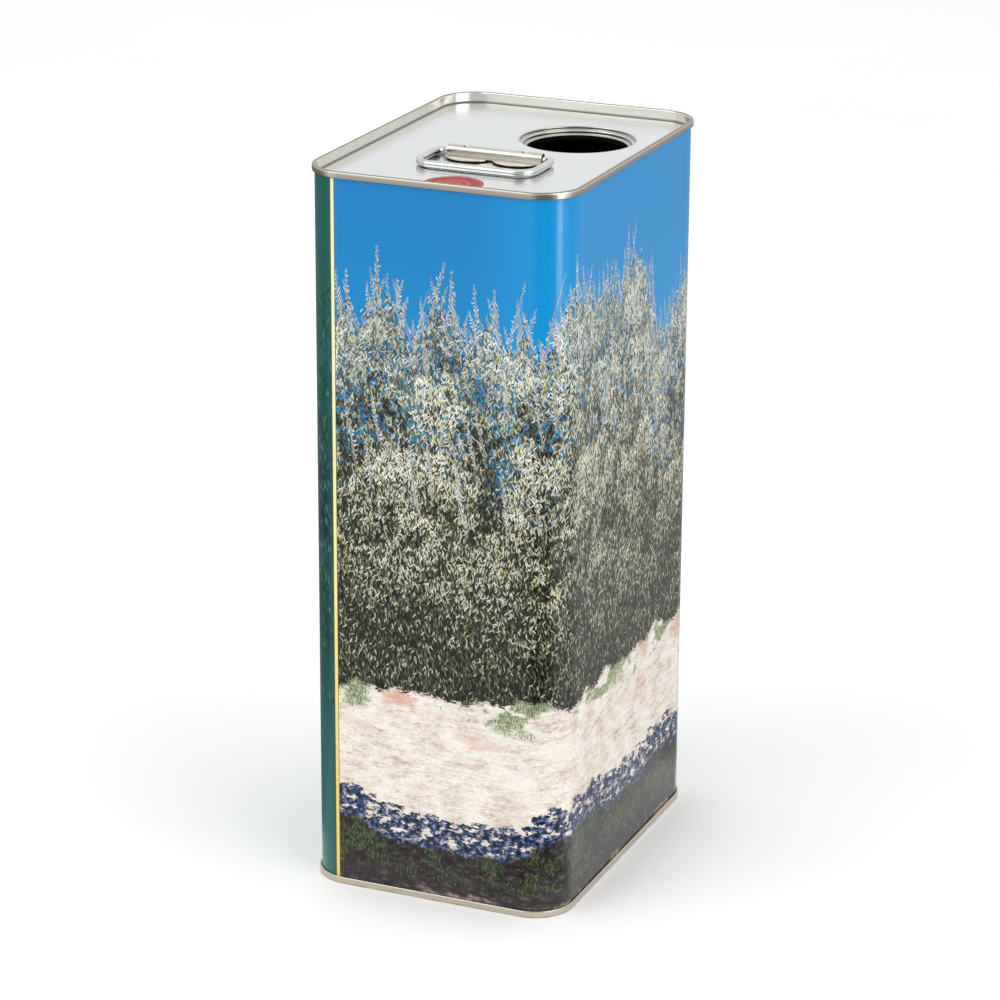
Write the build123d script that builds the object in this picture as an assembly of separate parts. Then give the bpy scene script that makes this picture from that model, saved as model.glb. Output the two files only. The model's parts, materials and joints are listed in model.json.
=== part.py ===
from build123d import *
import os

# A five litre oil tin with a recessed pouring mouth and a folding wire handle, in millimetres.
# It stands on its bottom seam at Z = 0, centred on the origin, with its front face towards -Y.

# Whole tin
body_width = 113.0
body_depth = 154.0
tin_height = 308.0
corner_radius = 16.5

# Tinplate and double seams
body_sheet = 0.3
end_sheet = 0.3
seam_height = 2.9
seam_gap = 0.04
tip_gap = 0.25
hook_bend_share = 0.4
shoulder_bend_share = 0.28
compound_gap = 0.03
compound_corner_share = 0.4

# Side weld
weld_width = 1.2
weld_rise = 0.12
weld_from_corner = 12.0
weld_end_gap = 1.0

# Lid
lid_depth = 4.4
foot_bend = 0.8
panel_join_share = 0.3

# Base
base_depth = 4.4
base_step_rise = 0.8
base_step_run = 1.6
base_step_bend = 0.8
base_step_inset_share = 0.5
base_join_share = 0.7

# Mouth
mouth_x = 19.0
mouth_y = 29.6
bore_radius = 21.0
low_shelf_width = 1.5
high_shelf_width = 1.5
high_shelf_depth = 1.5
low_shelf_drop = 1.6
bore_wall = 2.1
mouth_bend = 0.35
mouth_land = 1.5

# Handle wire
wire_radius = 1.6
handle_reach = 25.2
front_bend = 7.5
back_bend = 4.2
leg_in_clip = 6.5
handle_side_gap = 0.3
handle_rest_gap = 0.1

# Handle clip
clip_x = 1.8
clip_y = -16.2
clip_length = 41.4
clip_sheet = 0.3
clip_play = 0.3
crown_flat = 0.1
flange_bend = 0.25
flange_lift = 0.6
flange_root = 5.4
tongue_side = 6.8
tongue_reach = 11.2
tongue_notch = 2.4
weld_spot_radius = 1.2
weld_spot_reach = 4.6
nick_offset = 12.9
nick_length = 2.4
nick_front = 1.2
nick_depth = 1.2

overrun = 5.0

# Places across a seam, outwards from the body's outer face
hook_space = end_sheet + 2 * seam_gap
end_hook_space = body_sheet + 2 * seam_gap
chuck_face = -body_sheet - seam_gap - end_sheet
seam_face = hook_space + body_sheet + seam_gap + end_sheet
shoulder_space = seam_face - end_sheet - (chuck_face + end_sheet)

# Heights measured down from the top of a seam
body_bend_drop = end_sheet + seam_gap + body_sheet
body_tip_drop = seam_height - end_sheet - tip_gap
end_tip_drop = body_bend_drop + tip_gap

# Lid and handle heights
lid_top = tin_height - lid_depth
tube_inner = wire_radius + clip_play
tube_outer = tube_inner + clip_sheet
tube_z = lid_top + tube_outer
hinge_z = lid_top + handle_rest_gap + wire_radius


def bent_sheet(points, bends, thick):
    """Section of a bent sheet: its shown face runs through the points, with the metal on their right."""
    spots = [Vector(*point) for point in points]
    ways = [(b - a).normalized() for a, b in zip(spots, spots[1:])]
    rights = [Vector(way.Y, -way.X) for way in ways]
    shown_bends = []
    back_bends = []
    back = [spots[0] + rights[0] * thick]
    for i, bend in enumerate(bends):
        left_turn = ways[i].cross(ways[i + 1]).Z > 0
        shown_bends.append(bend if left_turn else bend + thick)
        back_bends.append(bend + thick if left_turn else bend)
        mitre = (rights[i] + rights[i + 1]) * (thick / (1 + rights[i].dot(rights[i + 1])))
        back.append(spots[i + 1] + mitre)
    back.append(spots[-1] + rights[-1] * thick)
    shown_line = FilletPolyline(*spots, radius=shown_bends)
    back_line = FilletPolyline(*back, radius=back_bends)
    cut_edges = [Edge.make_line(spots[0], back[0]), Edge.make_line(spots[-1], back[-1])]
    return make_face(shown_line.edges() + back_line.edges() + cut_edges)


def around_tin(section, height):
    """Carries a section of a wall or seam once round the body, from the middle of its right side."""
    half_x = body_width / 2
    half_y = body_depth / 2
    corners = [(half_x, 0), (half_x, half_y), (-half_x, half_y), (-half_x, 0)]
    back_half = FilletPolyline(*corners, radius=corner_radius)
    front_half = mirror(back_half, about=Plane.XZ)
    path = Wire(back_half.edges() + front_half.edges())
    placed = Plane.XZ * (Pos(half_x, height) * section)
    return sweep(placed, path=Pos(0, 0, height) * path)


def inset_panel(inset, thick, top):
    """Flat plate whose outline lies inset from the body's outer face."""
    outline = RectangleRounded(
        body_width - 2 * inset, body_depth - 2 * inset, corner_radius - inset
    )
    return Pos(0, 0, top) * extrude(outline, -thick)


def seamed_rim(panel_points, panel_bends, depth):
    """Chuck wall and double seam of an end, with the panel's edge that its points give."""
    low_bend = hook_bend_share * end_hook_space
    shoulder = shoulder_bend_share * shoulder_space
    points = panel_points + [
        (chuck_face, -depth),
        (chuck_face, 0),
        (seam_face, 0),
        (seam_face, -seam_height),
        (seam_gap, -seam_height),
        (seam_gap, -end_tip_drop),
    ]
    bends = panel_bends + [foot_bend, shoulder, shoulder, low_bend, low_bend]
    return around_tin(bent_sheet(points, bends, end_sheet), tin_height)


def upside_down(shape):
    """Turns a top end into the matching bottom one."""
    return mirror(shape, about=Plane.XY.offset(tin_height / 2))


def body_shell():
    """Wall rolled from one sheet, with a body hook in each seam and a welded side lap."""
    bend = hook_bend_share * hook_space
    section = bent_sheet(
        [
            (hook_space, tin_height - body_tip_drop),
            (hook_space, tin_height - body_bend_drop),
            (0, tin_height - body_bend_drop),
            (0, body_bend_drop),
            (hook_space, body_bend_drop),
            (hook_space, body_tip_drop),
        ],
        [bend] * 4,
        body_sheet,
    )
    weld_height = tin_height - 2 * (seam_height + weld_end_gap)
    weld_depth = body_sheet / 2 + weld_rise
    weld_x = (body_sheet / 2 - weld_rise) / 2 - body_width / 2
    weld_y = body_depth / 2 - corner_radius - weld_from_corner
    weld = Pos(weld_x, weld_y, tin_height / 2) * Box(weld_depth, weld_width, weld_height)
    return around_tin(section, 0) + weld


def mouth():
    """Recessed neck, drawn down from the lid in two shelves to the bore that takes a closure."""
    high_radius = bore_radius + low_shelf_width
    rim_radius = high_radius + high_shelf_width
    low_depth = high_shelf_depth + low_shelf_drop
    section = bent_sheet(
        [
            (bore_radius, -low_depth - bore_wall),
            (bore_radius, -low_depth),
            (high_radius, -low_depth),
            (high_radius, -high_shelf_depth),
            (rim_radius, -high_shelf_depth),
            (rim_radius, 0),
            (rim_radius + mouth_land, 0),
        ],
        [mouth_bend] * 5,
        end_sheet,
    )
    hole = Cylinder(rim_radius + mouth_land, overrun)
    return revolve(Plane.XZ * section, axis=Axis.Z), hole


def top_end():
    """Lid: a countersunk flat panel with the mouth in it, and the outer half of the top seam."""
    join = panel_join_share * corner_radius
    rim = seamed_rim([(-join, -lid_depth)], [], lid_depth)
    neck, hole = mouth()
    place = Pos(mouth_x, mouth_y, lid_top)
    return rim + (inset_panel(join, end_sheet, lid_top) - place * hole) + place * neck


def bottom_end():
    """Base: a countersunk panel with one stiffening step, and the outer half of the bottom seam."""
    step = base_step_inset_share * corner_radius
    join = base_join_share * corner_radius
    middle_depth = base_depth - base_step_rise
    points = [(-join, -middle_depth), (-step - base_step_run, -middle_depth), (-step, -base_depth)]
    rim = seamed_rim(points, [base_step_bend, base_step_bend], base_depth)
    return upside_down(rim + inset_panel(join, end_sheet, tin_height - middle_depth))


def top_sealing_ring():
    """Sealing compound squeezed between the lid's hook and the bend of the body hook."""
    height = tip_gap - 2 * compound_gap
    width = hook_space - 2 * compound_gap
    bead = RectangleRounded(width, height, compound_corner_share * height)
    middle = body_bend_drop + tip_gap / 2
    return around_tin(Pos(hook_space / 2, 0) * bead, tin_height - middle)


def tongue(middle, side):
    """Rounded tongue of a clip flange, on the side of the tube that side gives."""
    chord = clip_length / 2 - tongue_notch
    rise = tongue_reach - tongue_side
    radius = (chord**2 / 4 + rise**2) / (2 * rise)
    crown = Pos(middle, side * (tongue_reach - radius)) * Circle(radius)
    own_side = Pos(middle, side * tongue_reach / 2) * Rectangle(chord, tongue_reach)
    return crown & own_side


def clip_outline():
    """Plan of the clip: a strip with two rounded tongues along each side, and a notch between."""
    outline = Rectangle(clip_length, 2 * flange_root)
    for side in (-1, 1):
        outline += tongue(-clip_length / 4, side)
        outline += tongue(clip_length / 4, side)
    return outline


def clip_section():
    """Section of the bent strip: flange, leg, round crown over the wire, leg and flange."""
    leg = tube_outer + crown_flat / 2
    flange_top = flange_lift + clip_sheet - tube_outer
    points = [
        (-tongue_reach, flange_top),
        (-leg, flange_top),
        (-leg, tube_outer),
        (leg, tube_outer),
        (leg, flange_top),
        (tongue_reach, flange_top),
    ]
    return bent_sheet(points, [flange_bend, tube_inner, tube_inner, flange_bend], clip_sheet)


def handle_clip():
    """Strip bent over the handle wire, its two flanges welded to the lid at four spots."""
    flange_low = flange_lift - tube_outer
    strip = extrude(Plane.YZ * clip_section(), clip_length / 2, both=True)
    clip = strip & extrude(clip_outline(), 2 * tube_outer, both=True)
    spot = Pos(0, 0, flange_low - flange_lift / 2) * Cylinder(weld_spot_radius, flange_lift)
    nick_top = tube_outer + overrun
    nick_run = tube_outer + nick_front
    nick = Pos(0, nick_run / 2 - nick_front, nick_top / 2 + nick_depth / 2)
    nick *= Box(nick_length, nick_run, nick_top - nick_depth)
    for side in (-1, 1):
        clip += Pos(side * clip_length / 4, -weld_spot_reach) * spot
        clip += Pos(side * clip_length / 4, weld_spot_reach) * spot
        clip -= Pos(side * nick_offset, 0) * nick
    return Pos(clip_x, clip_y, tube_z) * clip


def bail_handle():
    """Wire bent to a flat rounded loop, which lies forward on the lid, its two ends in the clip."""
    half = clip_length / 2 + handle_side_gap + back_bend
    leg_end = clip_length / 2 - leg_in_clip
    path = FilletPolyline(
        (leg_end, 0),
        (half, 0),
        (half, -handle_reach),
        (-half, -handle_reach),
        (-half, 0),
        (-leg_end, 0),
        radius=[back_bend, front_bend, front_bend, back_bend],
    )
    wire = sweep(Pos(leg_end, 0) * (Plane.YZ * Circle(wire_radius)), path=path)
    return Pos(clip_x, clip_y, hinge_z) * wire


top_ring = top_sealing_ring()
pieces = {
    "body_shell": body_shell(),
    "top_end": top_end(),
    "bottom_end": bottom_end(),
    "top_sealing_ring": top_ring,
    "bottom_sealing_ring": upside_down(top_ring),
    "handle_clip": handle_clip(),
    "bail_handle": bail_handle(),
}

os.makedirs("parts", exist_ok=True)
for name, shape in pieces.items():
    export_step(shape, "parts/" + name + ".step")

inside = (body_width - 2 * body_sheet) * (body_depth - 2 * body_sheet)
inside *= tin_height - lid_depth - base_depth - 2 * end_sheet
print("brimful litres, less the corners", round(inside / 1e6, 2))
print("lid top", lid_top, "hinge height", hinge_z)
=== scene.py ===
import json
from math import cos, radians, sin

import bmesh
import bpy
from mathutils import Matrix, Vector


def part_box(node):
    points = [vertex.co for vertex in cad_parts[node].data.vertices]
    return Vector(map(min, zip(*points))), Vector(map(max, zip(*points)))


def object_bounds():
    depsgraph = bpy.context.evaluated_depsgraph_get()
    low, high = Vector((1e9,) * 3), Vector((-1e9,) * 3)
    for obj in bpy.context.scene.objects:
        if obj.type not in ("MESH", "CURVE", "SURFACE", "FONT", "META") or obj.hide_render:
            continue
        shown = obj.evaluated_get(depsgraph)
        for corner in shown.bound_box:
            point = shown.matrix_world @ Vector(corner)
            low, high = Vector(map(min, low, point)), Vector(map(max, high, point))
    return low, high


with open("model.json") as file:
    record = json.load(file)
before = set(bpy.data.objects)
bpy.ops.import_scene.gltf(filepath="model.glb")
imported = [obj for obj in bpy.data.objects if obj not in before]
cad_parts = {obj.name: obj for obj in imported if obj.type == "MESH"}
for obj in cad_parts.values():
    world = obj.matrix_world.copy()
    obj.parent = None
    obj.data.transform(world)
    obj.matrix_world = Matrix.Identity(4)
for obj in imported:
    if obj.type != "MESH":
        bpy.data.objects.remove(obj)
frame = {"nodes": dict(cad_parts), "record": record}
cad_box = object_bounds()

# Body shell: one sheet of tinplate 0.3 mm thick, printed flat in colours and varnished, then rolled up.
# Its two edges are welded down the left side, on a strip left bare of ink. The picture wraps the front and
# right sides between two yellow stripes, and the other half of the sheet is plain green.

tin = 1e-3      # one millimetre, in the scene's metres
body_width = 113 * tin
body_depth = 154 * tin
corner_radius = 16.5 * tin
flat_x = body_width / 2 - corner_radius
flat_y = body_depth / 2 - corner_radius
weld_from_corner = 12 * tin
weld_y = flat_y - weld_from_corner
bare_strip = 4 * tin


def srgb(red, green, blue):
    """Colour as it is seen on a screen, 0 to 255, in the linear shares that a shader takes."""
    linear = []
    for value in (red, green, blue):
        share = value / 255
        linear.append(share / 12.92 if share <= 0.04045 else ((share + 0.055) / 1.055) ** 2.4)
    return (*linear, 1)


class Reading:
    """What a node gives out over the surface. It takes part in sums as a number does."""

    def __init__(self, socket):
        self.socket = socket
        self.tree = socket.id_data

    def __add__(self, other):
        return calc("ADD", self, other)

    def __radd__(self, other):
        return calc("ADD", other, self)

    def __sub__(self, other):
        return calc("SUBTRACT", self, other)

    def __rsub__(self, other):
        return calc("SUBTRACT", other, self)

    def __mul__(self, other):
        return calc("MULTIPLY", self, other)

    def __truediv__(self, other):
        return calc("DIVIDE", self, other)

    def __neg__(self):
        return calc("MULTIPLY", self, -1)


def feed(tree, socket, value):
    """Links a reading to a node's input, or sets a plain value there."""
    if isinstance(value, Reading):
        tree.links.new(value.socket, socket)
    else:
        socket.default_value = value


def node(tree, kind, inputs=(), **settings):
    """New shader node with its settings, and its inputs by name or number."""
    made = tree.nodes.new("ShaderNode" + kind)
    for name, value in settings.items():
        setattr(made, name, value)
    for name, value in dict(inputs).items():
        feed(tree, made.inputs[name], value)
    return made


def tree_of(*values):
    """Node tree of the first reading among some values."""
    return next(value.tree for value in values if isinstance(value, Reading))


def calc(operation, *values):
    """One step of arithmetic on readings and numbers."""
    made = node(tree_of(*values), "Math", dict(enumerate(values)), operation=operation)
    return Reading(made.outputs[0])


def ease(value, start, end):
    """Goes smoothly from 0 at start to 1 at end."""
    inputs = {"Value": value, "From Min": start, "From Max": end}
    made = node(tree_of(value, start, end), "MapRange", inputs, interpolation_type="SMOOTHSTEP")
    return Reading(made.outputs[0])


def cover(share, under, over):
    """Lays one colour over another by a share."""
    made = node(share.tree, "Mix", data_type="RGBA")
    for number, value in ((0, share), (6, under), (7, over)):
        feed(share.tree, made.inputs[number], value)
    return Reading(made.outputs[2])


def join(x, y, z=0.0):
    """Place from its three measures."""
    return Reading(node(tree_of(x, y, z), "CombineXYZ", {0: x, 1: y, 2: z}).outputs[0])


def split(place):
    """The three measures of a place."""
    return [Reading(socket) for socket in node(place.tree, "SeparateXYZ", {0: place}).outputs]


def lots(number):
    """Three numbers from 0 to 1 drawn by lot for a whole number, always the same."""
    drawn = node(number.tree, "TexWhiteNoise", {"W": number}, noise_dimensions="1D").outputs["Color"]
    return [Reading(socket) for socket in node(number.tree, "SeparateColor", {0: Reading(drawn)}).outputs]


def mottle(place, size, detail=3.0, rough=0.55, stretch=(1, 1, 1)):
    """Cloudy noise of a size in metres, from about 0 to 1."""
    scaled = node(place.tree, "VectorMath", {0: place, 1: stretch}, operation="MULTIPLY").outputs[0]
    inputs = {"Vector": Reading(scaled), "Scale": 1 / size, "Detail": detail, "Roughness": rough}
    noise = node(place.tree, "TexNoise", inputs).outputs["Fac"]
    return ease(Reading(noise), 0.3, 0.7)


def tones(share, *colours):
    """Runs through evenly spaced screen colours as share goes from 0 to 1."""
    ramp = node(share.tree, "ValToRGB", {"Fac": share})
    points = ramp.color_ramp.elements
    while len(points) < len(colours):
        points.new(1.0)
    for i, colour in enumerate(colours):
        points[i].position = i / (len(colours) - 1)
        points[i].color = srgb(*colour)
    return Reading(ramp.outputs["Color"])


def start_group(name, inputs, outputs):
    """Shader node group with named sockets: its tree, what it is given and where its results go."""
    tree = bpy.data.node_groups.new(name, "ShaderNodeTree")
    for label in inputs:
        kind = "NodeSocketVector" if label == "Place" else "NodeSocketFloat"
        tree.interface.new_socket(label, in_out="INPUT", socket_type=kind)
    for label in outputs:
        tree.interface.new_socket(label, in_out="OUTPUT", socket_type="NodeSocketFloat")
    entry = tree.nodes.new("NodeGroupInput")
    given = {label: Reading(entry.outputs[label]) for label in inputs}
    return tree, given, tree.nodes.new("NodeGroupOutput")


def use_group(tree, name, inputs):
    """Places a node group and gives its results by name."""
    made = tree.nodes.new("ShaderNodeGroup")
    made.node_tree = bpy.data.node_groups[name]
    for label, value in inputs.items():
        feed(tree, made.inputs[label], value)
    return {socket.name: Reading(socket) for socket in made.outputs}


def strewn_leaves():
    """Leaves strewn one to a long cell, each a pointed lens that lies near the lean of the cells."""
    inputs = ("Place", "Cell", "Stretch", "Length", "Width", "Lean", "Spread", "Shift")
    tree, given, results = start_group("strewn_leaves", inputs, ("Leaf", "Side", "Tone", "Chance"))
    x, y, _ = split(given["Place"])
    lean_sine = calc("SINE", given["Lean"])
    lean_cosine = calc("COSINE", given["Lean"])
    tall = given["Cell"] * given["Stretch"]
    across_cells = (x * lean_cosine - y * lean_sine) / given["Cell"] + given["Shift"]
    up_cells = (x * lean_sine + y * lean_cosine) / tall + given["Shift"]
    cells = node(tree, "TexVoronoi", {"Scale": 1.0}, voronoi_dimensions="2D")
    feed(tree, cells.inputs["Vector"], join(across_cells, up_cells))
    root_x, root_y, _ = split(Reading(cells.outputs["Position"]))
    drawn = node(tree, "SeparateColor", {0: Reading(cells.outputs["Color"])}).outputs
    lot, tone, chance = [Reading(socket) for socket in drawn]
    off_x = (across_cells - root_x) * given["Cell"]
    off_y = (up_cells - root_y) * tall
    turn = (lot - 0.5) * given["Spread"]
    along = off_x * calc("SINE", turn) + off_y * calc("COSINE", turn)
    across = off_x * calc("COSINE", turn) - off_y * calc("SINE", turn)
    run = along / given["Length"]
    span = across / given["Width"]
    rim = 1 - run * run - calc("ABSOLUTE", span)
    feed(tree, results.inputs["Leaf"], ease(rim, 0.0, 0.4))
    feed(tree, results.inputs["Side"], ease(span, -0.5, 0.5))
    feed(tree, results.inputs["Tone"], tone)
    feed(tree, results.inputs["Chance"], chance)


def upright_sprigs():
    """Sprigs, one to a column: a thin stem with leaves in turn on its two sides, small at the tip."""
    inputs = ("Place", "Pitch", "Top", "Rise", "Slope", "Leaf Length", "Seed")
    tree, given, results = start_group("upright_sprigs", inputs, ("Leaf", "Stem", "Side", "Tone", "Below"))
    leaf_angle = 0.5
    leaf_width_share = 0.13
    sway_height = 6 * tin
    sway = 0.35 * tin
    stem_width = 0.16 * tin
    x, y, _ = split(given["Place"])
    bend = calc("SINE", y / sway_height + given["Seed"]) * sway
    columns = (x + y * given["Slope"] + bend) / given["Pitch"] + given["Seed"]
    column = calc("FLOOR", columns)
    rise, middle, tone = lots(column)
    below = given["Top"] + (rise - 0.5) * given["Rise"] - y
    aside = (columns - column - 0.35 - middle * 0.3) * given["Pitch"]
    out = calc("ABSOLUTE", aside)
    right = calc("GREATER_THAN", aside, 0.0)
    step = given["Leaf Length"] * 0.75
    turns = below / step + right * 0.5
    place_down = calc("FLOOR", turns)
    longer, wider, lean = lots(column * 7.3 + place_down * 2.0 + right)
    up = (1 - (turns - place_down)) * step
    angle = leaf_angle + (lean - 0.5) * 0.5
    along = out * calc("SINE", angle) + up * calc("COSINE", angle)
    across = out * calc("COSINE", angle) - up * calc("SINE", angle)
    grown = ease(below / (given["Leaf Length"] * 4.0), 0.0, 1.0) * 0.5 + 0.5
    length = given["Leaf Length"] * grown * (longer * 0.5 + 0.7)
    run = along / length
    span = across / (length * leaf_width_share * (wider * 0.6 + 0.7))
    rim = run * (1 - run) * 4.0 - calc("ABSOLUTE", span)
    under_tip = calc("GREATER_THAN", below, 0.0)
    feed(tree, results.inputs["Leaf"], ease(rim, 0.0, 0.4) * under_tip)
    feed(tree, results.inputs["Stem"], ease(out, stem_width * 1.4, stem_width * 0.5) * under_tip)
    feed(tree, results.inputs["Side"], ease(span, -0.6, 0.6))
    feed(tree, results.inputs["Tone"], tone * 0.4 + longer * 0.6)
    feed(tree, results.inputs["Below"], below)


strewn_leaves()
upright_sprigs()


def new_material(name):
    """Material, its node tree and its shader."""
    material = bpy.data.materials.new(name)
    material.use_nodes = True
    return material, material.node_tree, material.node_tree.nodes["Principled BSDF"]


def spot(tree):
    """Place on the piece, in metres."""
    return Reading(node(tree, "TexCoord").outputs["Object"])


def leaf_layer(under, sheet, there, dark, light, tone, lean, most, seed, cell=1.1, length=1.5, width=0.34):
    """Strews leaves over the colour under it: where, in what tones, at what lean and how many."""
    tree = sheet.tree
    inputs = {"Place": sheet, "Cell": cell * tin, "Stretch": 2.2, "Length": length * tin}
    inputs.update({"Width": width * tin, "Lean": lean, "Spread": 0.9, "Shift": seed})
    leaves = use_group(tree, "strewn_leaves", inputs)
    chosen = calc("LESS_THAN", leaves["Chance"], there * most)
    share = leaves["Tone"] * 0.5 + leaves["Side"] * 0.25 + tone * 0.6 - 0.2
    return cover(leaves["Leaf"] * chosen, under, tones(share, dark, light))


def sprig_layer(under, sheet, top, depth, light, dark, pitch, rise, slope, length, seed):
    """Stands a row of sprigs over the colour under it, fading out at a depth below their tips."""
    tree = sheet.tree
    inputs = {"Place": sheet, "Top": top, "Pitch": pitch * tin, "Rise": rise * tin, "Slope": slope}
    inputs.update({"Leaf Length": length * tin, "Seed": seed})
    row = use_group(tree, "upright_sprigs", inputs)
    lasting = ease(row["Below"], depth * tin, depth * tin * 0.6)
    stem_tone = cover(row["Tone"], srgb(120, 108, 92), srgb(188, 180, 160))
    tone = row["Tone"] * 0.6 + row["Side"] * 0.4
    layer = cover(row["Stem"] * lasting, under, stem_tone)
    return cover(row["Leaf"] * lasting, layer, tones(tone, dark, light))


def clumps(sheet, size, seed):
    """Light on round clumps of leaves: 0 in the dark between them, about 1 at their upper left."""
    bent = (mottle(sheet, size * 0.6, detail=2.0) - 0.5) * 0.5
    x, y, _ = split(sheet)
    across = x / size + bent + seed
    up = y / size - bent + seed
    cells = node(sheet.tree, "TexVoronoi", {"Scale": 1.0}, voronoi_dimensions="2D")
    feed(sheet.tree, cells.inputs["Vector"], join(across, up))
    middle_x, middle_y, _ = split(Reading(cells.outputs["Position"]))
    facing = (up - middle_y) * 0.9 - (across - middle_x) * 0.6 + 0.6
    return facing * ease(Reading(cells.outputs["Distance"]), 0.85, 0.35)


printed_tin, tree, shader = new_material("printed_tin")
here = spot(tree)
x, y, z = split(here)
near_x = calc("MAXIMUM", calc("MINIMUM", x, flat_x), -flat_x)
near_y = calc("MAXIMUM", calc("MINIMUM", y, flat_y), -flat_y)
corner_turn = calc("ARCTAN2", x - near_x, near_y - y)

# The sheet laid flat, measured from the middle of the front: to the weld one way, round to it the other
past_weld = calc("LESS_THAN", x, 0.0) * calc("GREATER_THAN", y, weld_y)
before_weld = calc("LESS_THAN", x, -flat_x) * (1 - past_weld)
behind = calc("MAXIMUM", calc("GREATER_THAN", y, flat_y), past_weld)
turned = corner_turn + past_weld * calc("LESS_THAN", corner_turn, 0.0) * radians(360)
run_x = near_x + behind * (flat_x - near_x) * 2
run_y = near_y + flat_y + past_weld * (flat_y - near_y) * 2 - before_weld * (near_y + flat_y) * 2
around = turned * corner_radius + run_x + run_y
sheet = join(around, z)

# Sky, paler towards the bushes, with a painted band of light on and beside the rounded corner, where the sky
# turns brighter and bluer
sky_foot = 180 * tin
sky_top = 305 * tin
corner_light_in = (14 * tin, 44 * tin)
corner_light_out = (64 * tin, 84 * tin)
colour = tones(ease(z, sky_foot, sky_top), (18, 150, 210), (0, 134, 197), (0, 125, 189))
# Painted light: a brighter, bluer sky on and beside the rounded corner
painted_corner_light = ease(around, *corner_light_in) * (ease(around, *corner_light_out) * -0.4 + 1)
colour = cover(painted_corner_light * 0.7, colour, srgb(0, 146, 212))

# A thicket of bushes: how deep in it a point is, and how much light falls there
lowest_top = 224 * tin
top_swing = 42 * tin
top_width = 36 * tin
edge_swing = 9 * tin
foot = (80 * tin, 90 * tin)
shaded_foot = (92 * tin, 190 * tin)
big_clump = 30 * tin
small_clump = 12 * tin
tip_depth = 24 * tin
full_depth = 16 * tin
heart_depth = (26 * tin, 46 * tin)
gap_depth = (86 * tin, 44 * tin)
low_hearts = (150 * tin, 130 * tin)
ragged = mottle(sheet, 7 * tin, detail=2.0)
patches = mottle(sheet, 13 * tin, detail=3.0)
top = mottle(join(around, 11.0), top_width, detail=3.0) * top_swing + lowest_top
deep = top - z + ragged * edge_swing
lit = clumps(sheet, big_clump, 3.1) * 0.6 + clumps(sheet, small_clump, 7.7) * 0.5
lit = lit * (ease(z, *shaded_foot) * 0.75 + 0.2) + ease(deep, tip_depth, 0.0) * 0.2
above_foot = ease(z - ragged * edge_swing, *foot)
gaps = ease(mottle(sheet, 3.5 * tin) + patches * 0.7, 0.8, 1.1) * ease(deep, *gap_depth)
heart = ease(deep + patches * 14 * tin, *heart_depth) * (1 - gaps)
leafage = ease(deep, 0.0, full_depth) * above_foot
low = ease(z, *low_hearts)

# Its sprigs, dark hearts and leaves, from the back to the front
sprig_rise = 10
for drop, depth, dark, pitch, rise, slope, length, seed in (
    (0, 40, (100, 112, 98), 4.6, 26, 0.06, 2.7, 8.0),
    (2, 36, (76, 86, 72), 3.9, 24, -0.24, 2.4, 22.0),
    (5, 36, (104, 110, 94), 3.3, 20, 0.3, 2.5, 46.0),
):
    tips = top + (sprig_rise - drop) * tin
    colour = sprig_layer(colour, sheet, tips, depth, (236, 238, 230), dark, pitch, rise, slope, length, seed)
heart_tone = mottle(sheet, 1.3 * tin) * 0.4 + lit * 0.5
hearts = tones(heart_tone, (6, 6, 5), (26, 27, 20), (78, 82, 64))
colour = cover(calc("MAXIMUM", heart, low), colour, hearts)
bright = leafage * lit
for there, dark, light, lean, most, seed in (
    (leafage, (6, 7, 4), (62, 66, 42), -0.7, 0.95, 6.3),
    (leafage, (13, 14, 8), (112, 115, 82), 0.5, 0.9, 7.9),
    (leafage, (36, 38, 22), (176, 178, 140), -0.2, 0.65, 3.1),
    (bright, (104, 107, 78), (240, 239, 216), 0.25, 0.9, 10.7),
    (bright, (120, 123, 96), (250, 249, 232), -0.5, 0.75, 14.1),
    (bright, (130, 134, 112), (255, 255, 246), 0.8, 0.55, 18.9),
):
    colour = leaf_layer(colour, sheet, there, dark, light, lit, lean, most, seed)
fruit_tones = ((104, 104, 44), (240, 234, 140))
fruit = leafage * patches * ease(lit, 0.1, 0.6)
colour = leaf_layer(colour, sheet, fruit, *fruit_tones, lit, 0.2, 0.45, 5.5, cell=1.3, length=0.7, width=0.45)
twig_drop = 22 * tin
twig_tones = ((255, 255, 250), (100, 106, 88))
colour = sprig_layer(colour, sheet, top - twig_drop, 30, *twig_tones, 6.5, 70, 0.16, 2.3, 60.0)

# Pale ground with faint layers, rust and grass near the bushes
layer_flatness = 3.5
ground_foot = 88 * tin
ground_swing = 9 * tin
rust_height = (60 * tin, 92 * tin)
grass_height = (82 * tin, 92 * tin)
ground_place = join(around, z * layer_flatness)
layers = mottle(ground_place, 9 * tin, detail=6.0, rough=0.7)
fine_layers = mottle(ground_place, 2.4 * tin, detail=3.0)
ground = layers * 0.4 + fine_layers * 0.3 + patches * 0.3 + 0.06
ground = tones(ground, (136, 108, 100), (206, 184, 171), (234, 223, 211), (246, 239, 229), (252, 247, 239))
wide_patches = mottle(join(around, z * 2.0), 26 * tin, detail=3.0)
high_ground = ease(z, *rust_height)
rust = ease(wide_patches + fine_layers * 0.3, 0.8, 1.25) * (high_ground * 0.7 + 0.15)
ground = cover(rust, ground, srgb(214, 160, 132))
grass = ease(wide_patches, 0.5, 0.2) * ease(z + patches * 9 * tin, *grass_height)
ground = cover(grass * 0.7, ground, tones(fine_layers, (52, 78, 36), (112, 146, 74), (176, 190, 128)))
wave = mottle(join(around, 0.0), 28 * tin, detail=3.0)
ground_top = wave * ground_swing + ground_foot
on_ground = ease(z + fine_layers * 3 * tin, ground_top + 1.5 * tin, ground_top)
colour = cover(on_ground, colour, ground)

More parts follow.
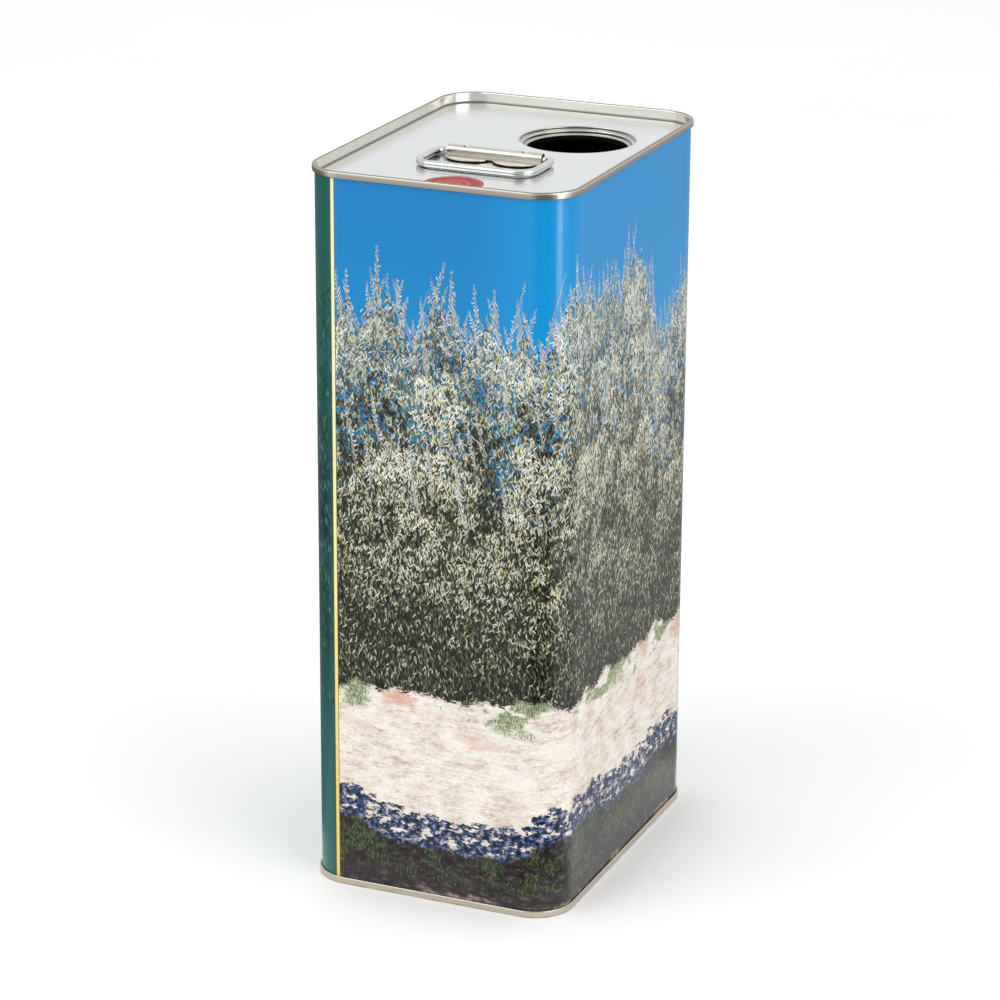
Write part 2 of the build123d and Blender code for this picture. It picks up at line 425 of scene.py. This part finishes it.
# Dappled blue shade across the ground, and a dark bank with grass at the foot
shade_swing = 12 * tin
shade_top = (42 * tin, 34 * tin)
bank_top = (27 * tin, 24 * tin)
pale_top = (10 * tin, 6 * tin)
tuft_height = (8 * tin, 14 * tin)
even_light = 0.5
shade_wave = mottle(join(around, 5.0), 46 * tin, detail=3.0) * shade_swing
shade_z = z - shade_wave
dapple = mottle(join(around, z * 1.7), 6 * tin, detail=6.0, rough=0.72)
limit = ease(shade_z, *shade_top) * -0.78 + 1.1
dappled = ease(dapple - limit, -0.08, 0.08)
shade_tone = mottle(sheet, 2.4 * tin, detail=4.0)
shade_tone = tones(shade_tone, (16, 15, 20), (32, 44, 72), (54, 78, 120), (150, 150, 166))
colour = cover(dappled, colour, shade_tone)
on_bank = ease(shade_z + dapple * 6 * tin, *bank_top)
bank_tone = mottle(join(around, z * 2.0), 5 * tin, detail=6.0, rough=0.75)
bank = tones(bank_tone, (14, 11, 12), (34, 29, 29), (54, 46, 46), (100, 88, 84))
pale_bank = ease(z + wide_patches * 16 * tin, *pale_top)
bank = cover(pale_bank * 0.8, bank, tones(bank_tone, (66, 54, 58), (140, 122, 120), (206, 188, 180)))
colour = cover(on_bank, colour, bank)
tufts = on_bank * ease(patches, 0.3, 0.8) * ease(z, *tuft_height) + grass * on_ground * 0.9
blade = {"cell": 0.8, "length": 1.7, "width": 0.17}
for dark, light, lean, most, seed in (
    ((22, 36, 20), (84, 118, 60), -0.25, 0.9, 3.3),
    ((20, 32, 18), (128, 158, 82), 0.15, 0.5, 9.1),
):
    colour = leaf_layer(colour, sheet, tufts, dark, light, even_light, lean, most, seed, **blade)

# The green half of the sheet, with leaves printed tone on tone. A stripe lies at each of its edges, where the
# body has turned from its front by these angles, in radians. Each ink ends between its two half widths.
edge_turn = 0.175
far_edge_turn = 2.941
deep_green = (4.4 * tin, 1.8 * tin)
outline = (1.15 * tin, 0.95 * tin)
stripe = (0.85 * tin, 0.65 * tin)
stripe_top = 300 * tin
green_rise = (40 * tin, 300 * tin)
leaf_foot = (96 * tin, 150 * tin)
leaf_top = (262 * tin, 200 * tin)
up_green = ease(z + mottle(sheet, 30 * tin) * 40 * tin, *green_rise)
green = tones(up_green, (26, 98, 96), (4, 42, 38), (20, 88, 82))
green_lit = mottle(sheet, 12 * tin, detail=3.0)
in_leaf = ease(z + patches * 36 * tin, *leaf_foot) * ease(z - patches * 30 * tin, *leaf_top)
for dark, light, lean, most, seed, cell in (
    ((4, 40, 36), (26, 82, 72), 0.5, 0.9, 4.4, 2.6),
    ((2, 34, 30), (48, 108, 100), -0.4, 0.8, 7.1, 2.0),
    ((12, 60, 54), (86, 140, 128), 0.1, 0.3, 12.7, 1.7),
):
    size = {"cell": cell, "length": cell * 1.35, "width": cell * 0.3}
    green = leaf_layer(green, sheet, in_leaf, dark, light, green_lit, lean, most, seed, **size)
in_picture = calc("GREATER_THAN", corner_turn, -edge_turn) * calc("LESS_THAN", corner_turn, far_edge_turn)
colour = cover(in_picture, green, colour)
from_edge = calc("ABSOLUTE", (corner_turn + edge_turn) * corner_radius)
from_far_edge = calc("ABSOLUTE", (corner_turn - far_edge_turn) * corner_radius)
near_edge = calc("MINIMUM", from_edge, from_far_edge)
colour = cover(ease(near_edge, *deep_green) * (0.4 - in_picture * 0.4), colour, srgb(2, 82, 68))
colour = cover(ease(near_edge, *outline), colour, srgb(84, 84, 40))
stripe_tone = tones(ease(z, 0.0, stripe_top), (246, 212, 104), (246, 234, 160), (240, 238, 190))
colour = cover(ease(near_edge, *stripe), colour, stripe_tone)

# Ink grain, and the bare strip on both sides of the weld
grain = mottle(sheet, 0.8 * tin, detail=1.0)
colour = cover(grain * 0.1, colour, srgb(0, 0, 0))
from_weld = calc("ABSOLUTE", y - weld_y) + calc("GREATER_THAN", x, 0.0)
bare = ease(from_weld, bare_strip + 0.1 * tin, bare_strip)
heat = ease(from_weld, 1.9 * tin, 0.7 * tin)
bare_tone = cover(heat * mottle(here, 3 * tin, stretch=(1, 1, 0.3)), srgb(205, 204, 198), srgb(116, 104, 100))
colour = cover(bare, colour, bare_tone)

# Inside: lacquer, its colour painted near black as painted shade inside the closed tin
normal_x, normal_y, _ = split(Reading(node(tree, "NewGeometry").outputs["Normal"]))
inward = calc("LESS_THAN", normal_x * x + normal_y * y, 0.0)
colour = cover(inward, colour, srgb(26, 24, 22))

feed(tree, shader.inputs["Base Color"], colour)
feed(tree, shader.inputs["Metallic"], bare * (1 - inward))
smears = mottle(here, 40 * tin, detail=4.0, rough=0.6)
feed(tree, shader.inputs["Roughness"], smears * 0.05 + 0.08 + inward * 0.5)
shader.inputs["Specular IOR Level"].default_value = 0.48
ripple = mottle(here, 1.4 * tin, detail=1.0)
peel = node(tree, "Bump", {"Strength": 0.04, "Distance": 0.1 * tin, "Height": ripple})
feed(tree, shader.inputs["Normal"], Reading(peel.outputs["Normal"]))


def dress(name, material):
    """Gives a piece its material."""
    for slot in frame["nodes"][name].material_slots:
        slot.material = material


dress("body_shell", printed_tin)

# Lid: bright tinplate, pressed to a sunk panel with a recessed mouth, and rolled onto the body in a
# double seam. Tinplate is rolled in one direction, which leaves fine streaks. A round mark of plain rings
# is printed near its front edge in red ink.

mark_x = 2.4 * tin
mark_y = -61 * tin
mark_radius = 12.5 * tin
mouth = next(mount for mount in frame["record"]["mounts"] if mount["name"] == "mouth")
mouth_x, mouth_y, _ = mouth["pos_m"]
bore_radius = mouth["dims"]["r_mm"] * tin
recess_radius = bore_radius + 4.4 * tin
clip_low, clip_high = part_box("handle_clip")
clip_x = (clip_low.x + clip_high.x) / 2
clip_y = (clip_low.y + clip_high.y) / 2
tongue_middle = 10.35 * tin
clip_shadow_radius = 10.3 * tin

# Heights and insets between which a tone comes in on the seam, the wall inside it and the panel's foot: a
# painted highlight below the seam's crest, a painted dark reflection on the crest, and painted shade at the
# panel's foot and low on the seam where it curls under
seam_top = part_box("top_end")[1].z
panel_z = seam_top - 4.4 * tin
neck_top = panel_z - 3.15 * tin
crest_z = (seam_top - 0.45 * tin, seam_top - 0.2 * tin)
seam_highlight_z = (seam_top - 1.2 * tin, seam_top - 0.8 * tin)
curl_shade_z = (seam_top - 1.8 * tin, seam_top - 2.8 * tin)
foot_z = (panel_z + 0.75 * tin, panel_z + 0.45 * tin)
foot_inset = (-2.0 * tin, -1.5 * tin)
wall_inset = (-5 * tin, -2 * tin)
seam_inset = (-0.6 * tin, -0.4 * tin)


def rolled_tin():
    """Bare tinplate: the streaks that rolling leaves, cloudy dulling, and fine scratches here and there."""
    tree, given, results = start_group("rolled_tin", ("Place", "Streak"), ("Tone", "Dulling", "Relief"))
    x, y, z = split(given["Place"])
    lying = join(x * given["Streak"], y, z)
    streaks = mottle(lying, 0.5 * tin, detail=2.0, rough=0.7)
    wide_streaks = mottle(lying, 5 * tin, detail=2.0)
    clouds = mottle(given["Place"], 26 * tin, detail=3.0)
    bent = join(x * 0.06 + y, y * 0.06 - x * 0.5, z)
    scratches = ease(mottle(bent, 0.35 * tin, detail=0.0), 0.97, 1.0) * ease(clouds, 0.55, 0.8)
    feed(tree, results.inputs["Tone"], streaks * 0.35 + wide_streaks * 0.35 + clouds * 0.3)
    feed(tree, results.inputs["Dulling"], clouds * 0.6 + streaks * 0.2 - scratches * 0.3)
    feed(tree, results.inputs["Relief"], streaks * 0.3 + clouds * 0.4 - scratches * 0.3)


rolled_tin()


def bright_metal(name, light, dark, base_roughness, roughness_swing, streak, relief):
    """Tinplate material with its tones and how dull it is."""
    material, tree, shader = new_material(name)
    place = spot(tree)
    steel = use_group(tree, "rolled_tin", {"Place": place, "Streak": streak})
    colour = tones(steel["Tone"], dark, light)
    dulling = steel["Dulling"] * roughness_swing + base_roughness
    shader.inputs["Metallic"].default_value = 1.0
    bump = node(tree, "Bump", {"Strength": relief, "Distance": 0.02 * tin, "Height": steel["Relief"]})
    feed(tree, shader.inputs["Normal"], Reading(bump.outputs["Normal"]))
    return material, tree, shader, place, colour, dulling


lid_steel = bright_metal("lid_tin", (225, 227, 227), (219, 221, 221), 0.17, 0.08, 0.06, 0.05)
lid_tin, tree, shader, place, colour, dulling = lid_steel
x, y, z = split(place)
aside = calc("MAXIMUM", calc("ABSOLUTE", x) - flat_x, 0.0)
along = calc("MAXIMUM", calc("ABSOLUTE", y) - flat_y, 0.0)
beyond_body = calc("SQRT", aside * aside + along * along) - corner_radius
on_seam = ease(beyond_body, *seam_inset)
painted_dark_crest = on_seam * ease(z, *crest_z)
foot_shade = ease(beyond_body, *foot_inset) * ease(z, *foot_z)
on_wall = ease(beyond_body, *wall_inset)
colour = cover(on_wall, colour, srgb(226, 225, 217))
colour = cover(on_seam, colour, srgb(206, 198, 184))
# Painted highlight on the seam's shoulder, painted dark reflection on its crest, painted shade at the panel's
# foot and on the seam's lower part
colour = cover(on_seam * ease(z, *seam_highlight_z), colour, srgb(240, 236, 222))
colour = cover(painted_dark_crest * 0.9, colour, srgb(118, 110, 90))
colour = cover(foot_shade * 0.85, colour, srgb(92, 84, 74))
colour = cover(on_seam * ease(z, *curl_shade_z) * 0.4, colour, srgb(150, 128, 104))

# The mark is red ink
from_mark = calc("SQRT", (x - mark_x) * (x - mark_x) + (y - mark_y) * (y - mark_y))
in_mark = ease(from_mark, mark_radius, mark_radius - 0.3 * tin) * (1 - on_seam)
ring_share = from_mark / mark_radius
pale_ring = ease(calc("ABSOLUTE", ring_share - 0.9), 0.05, 0.03) + ease(ring_share, 0.6, 0.56)
pale_ring = pale_ring - ease(calc("ABSOLUTE", ring_share - 0.38), 0.06, 0.04) - ease(ring_share, 0.16, 0.12)
mark_tone = cover(mottle(place, 1.5 * tin), srgb(128, 4, 16), srgb(160, 14, 26))
mark_tone = cover(pale_ring, mark_tone, srgb(180, 62, 58))
colour = cover(in_mark, colour, mark_tone)

# The neck below its last shelf is painted dark as painted shade, the mouth's recess is painted darker as
# painted shade, most on its upright walls, and a painted shadow lies on the lid under the clip's tongues
from_mouth = calc("SQRT", (x - mouth_x) * (x - mouth_x) + (y - mouth_y) * (y - mouth_y))
# Painted shade on the neck's wall below its last shelf
neck_shade = ease(from_mouth, bore_radius + 0.5 * tin, bore_radius + 0.3 * tin)
neck_shade = neck_shade * ease(z, neck_top, neck_top - 0.3 * tin)
_, _, normal_z = split(Reading(node(tree, "NewGeometry").outputs["Normal"]))
# Painted shade in the mouth's recess, heaviest on its upright walls
in_recess = ease(from_mouth, recess_radius, recess_radius - 0.2 * tin)
upright = ease(calc("ABSOLUTE", normal_z), 0.9, 0.4)
colour = cover(in_recess * (upright * 0.5 + 0.15), colour, srgb(142, 132, 112))
# Painted shadow on the lid under the clip's tongues
from_tongue = calc("ABSOLUTE", x - clip_x) - tongue_middle
from_tongue = calc("SQRT", from_tongue * from_tongue + (y - clip_y) * (y - clip_y))
clip_shadow = ease(from_tongue, clip_shadow_radius, clip_shadow_radius - 0.6 * tin)
painted_shade = calc("MAXIMUM", neck_shade, clip_shadow * 0.92)
colour = cover(painted_shade, colour, srgb(20, 17, 15))
feed(tree, shader.inputs["Base Color"], colour)
feed(tree, shader.inputs["Metallic"], (1 - painted_shade * 0.8) * (1 - in_mark))
shader.inputs["Specular IOR Level"].default_value = 0.05
feed(tree, shader.inputs["Roughness"], dulling - on_seam * 0.02 + painted_shade * 0.3)
dress("top_end", lid_tin)

# Base: the same tinplate, pressed to a sunk and stepped panel and seamed to the foot of the body.
# It is a little duller, and scuffed where the tin stands.

base_steel = bright_metal("base_tin", (208, 198, 180), (188, 178, 162), 0.2, 0.12, 0.06, 0.2)
base_tin, tree, shader, place, colour, dulling = base_steel
x, y, z = split(place)
scuffed = ease(z, 0.9 * tin, 0.1 * tin) * mottle(place, 4 * tin)
feed(tree, shader.inputs["Base Color"], cover(scuffed, colour, srgb(150, 144, 134)))
feed(tree, shader.inputs["Roughness"], dulling + scuffed * 0.25)
dress("bottom_end", base_tin)

# Sealing rings: a rubbery compound, run into the curl of each end and squeezed flat inside the seam.
# They can't be seen on a whole tin.

compound, tree, shader = new_material("compound")
place = spot(tree)
feed(tree, shader.inputs["Base Color"], tones(mottle(place, 2 * tin), (132, 122, 104), (156, 146, 126)))
feed(tree, shader.inputs["Roughness"], mottle(place, 1 * tin) * 0.15 + 0.7)
for name in ("top_sealing_ring", "bottom_sealing_ring"):
    dress(name, compound)

# Handle clip: a strip of tinplate rolled over the wire, with rounded tongues along its two edges.
# The tongues are spot welded to the lid, and the creases beside the wire are painted dark as painted shade.

crease_out = 2.6 * tin
crease_z = panel_z + 0.8 * tin

clip_steel = bright_metal("clip_tin", (222, 219, 208), (176, 171, 158), 0.1, 0.12, 0.05, 0.15)
clip_tin, tree, shader, place, colour, dulling = clip_steel
x, y, z = split(place)
out = calc("ABSOLUTE", y - clip_y)
# Painted shade in the creases beside the wire
crease_shade = ease(calc("ABSOLUTE", out - crease_out), 0.5 * tin, 0.1 * tin)
crease_shade = crease_shade * ease(z, crease_z + 0.5 * tin, crease_z)
feed(tree, shader.inputs["Base Color"], cover(crease_shade * 0.8, colour, srgb(58, 52, 46)))
feed(tree, shader.inputs["Roughness"], dulling + crease_shade * 0.2)
dress("handle_clip", clip_tin)

# Bail handle: drawn and tinned steel wire, bent to a flat loop whose two ends meet inside the clip.
# Drawing leaves fine lines and dull patches.

wire_steel = bright_metal("handle_wire", (220, 222, 219), (190, 191, 188), 0.12, 0.12, 0.1, 0.12)
handle_wire, tree, shader, place, colour, dulling = wire_steel
feed(tree, shader.inputs["Base Color"], colour)
feed(tree, shader.inputs["Roughness"], dulling)
dress("bail_handle", handle_wire)

# Studio: a pale floor, a bright even room with a darker side behind the camera, and three soft lamps.
# The camera looks down on the front right edge of the tin through a long lens.

bpy.context.scene.view_settings.view_transform = "Standard"

floor_size = 12.0
floor_mesh = bpy.data.meshes.new("floor")
floor_shape = bmesh.new()
bmesh.ops.create_grid(floor_shape, x_segments=1, y_segments=1, size=floor_size / 2)
floor_shape.to_mesh(floor_mesh)
floor_shape.free()
floor = bpy.data.objects.new("floor", floor_mesh)
bpy.context.scene.collection.objects.link(floor)
floor_paint, tree, shader = new_material("pale_floor")
colour = tones(mottle(spot(tree), 0.6), (250, 250, 250), (253, 253, 253))

# The floor is painted grey only for mirrored rays, all round the tin, as if grey cards stood there: painted
# dark reflections in the tin's sides, while the floor itself looks pale
half_width, half_depth, _ = cad_box[1]
x, y, _ = split(spot(tree))
heading = calc("ARCTAN2", x, -y)
from_tin = calc("MAXIMUM", calc("ABSOLUTE", x) - half_width, calc("ABSOLUTE", y) - half_depth)
card = ease(calc("ABSOLUTE", heading - radians(8)), radians(62), radians(36)) * 0.42 + 0.1
card = card + ease(calc("ABSOLUTE", heading - radians(38)), radians(42), radians(20)) * 0.36
card = card + ease(heading, radians(85), radians(115)) * 0.5
card = card + ease(heading, radians(-35), radians(-75)) * 0.75
card = card * ease(from_tin, 5 * tin, 45 * tin)
mirrored = Reading(node(tree, "LightPath").outputs["Is Glossy Ray"])
feed(tree, shader.inputs["Base Color"], cover(card * mirrored, colour, srgb(20, 20, 20)))
shader.inputs["Roughness"].default_value = 0.7
shader.inputs["Specular IOR Level"].default_value = 0.2
floor_mesh.materials.append(floor_paint)

room = bpy.data.worlds.new("room")
room.use_nodes = True
bpy.context.scene.world = room
tree = room.node_tree
way_x, way_y, way_z = split(Reading(node(tree, "TexCoord").outputs["Generated"]))
toward_camera = way_x * 0.39 - way_y * 0.92
card = ease(toward_camera, 0.3, 0.75) * ease(way_z, 0.42, 0.55) * ease(way_z, 0.85, 0.7)
wall = cover(ease(toward_camera, 0.4, -0.3), srgb(226, 226, 228), srgb(244, 245, 246))
room_light = cover(ease(way_z, 0.25, 0.8), wall, srgb(253, 253, 253))
room_light = cover(card, room_light, srgb(120, 120, 122))
backdrop = tree.nodes["Background"]
feed(tree, backdrop.inputs["Color"], room_light)
backdrop.inputs["Strength"].default_value = 1.07


def lamp(name, place, aim, width, height, watts, lights_all=True):
    """Soft rectangular lamp at a place, turned to its aim. It lights all, or is only mirrored."""
    light = bpy.data.lights.new(name, "AREA")
    light.shape = "RECTANGLE"
    light.size = width
    light.size_y = height
    light.energy = watts
    made = bpy.data.objects.new(name, light)
    made.location = place
    made.rotation_euler = (Vector(aim) - Vector(place)).to_track_quat("-Z", "Y").to_euler()
    made.visible_camera = False
    made.visible_diffuse = lights_all
    bpy.context.scene.collection.objects.link(made)


tin_middle = (0, 0, 0.16)
lit_corner = (0.0565, -0.077, 0.28)
lamp("key_lamp", (-1.1, -1.6, 1.9), tin_middle, 2.0, 2.0, 18)
lamp("side_lamp", (1.7, -0.6, 1.1), tin_middle, 1.5, 1.5, 11)
lamp("edge_strip", (0.544, -0.19, 0.152), lit_corner, 0.15, 0.07, 0.09, lights_all=False)

camera_lens = 132.69
camera_sensor = 36
camera_place = Vector((0.57328, -1.3557, 0.65986))
camera_yaw = radians(-23.0081)
camera_pitch = radians(19.0316)
camera_roll = radians(0.3305)
ahead = Vector((sin(camera_yaw) * cos(camera_pitch), cos(camera_yaw) * cos(camera_pitch), -sin(camera_pitch)))
level_right = Vector((cos(camera_yaw), -sin(camera_yaw), 0))
level_up = level_right.cross(ahead)
camera_right = level_right * cos(camera_roll) + level_up * sin(camera_roll)
camera_up = level_up * cos(camera_roll) - level_right * sin(camera_roll)
camera_data = bpy.data.cameras.new("camera")
camera_data.sensor_width = camera_sensor
camera_data.lens = camera_lens
camera = bpy.data.objects.new("camera", camera_data)
turn = Matrix((camera_right, camera_up, -ahead)).transposed()
camera.matrix_world = Matrix.Translation(camera_place) @ turn.to_4x4()
bpy.context.scene.collection.objects.link(camera)
bpy.context.scene.camera = camera
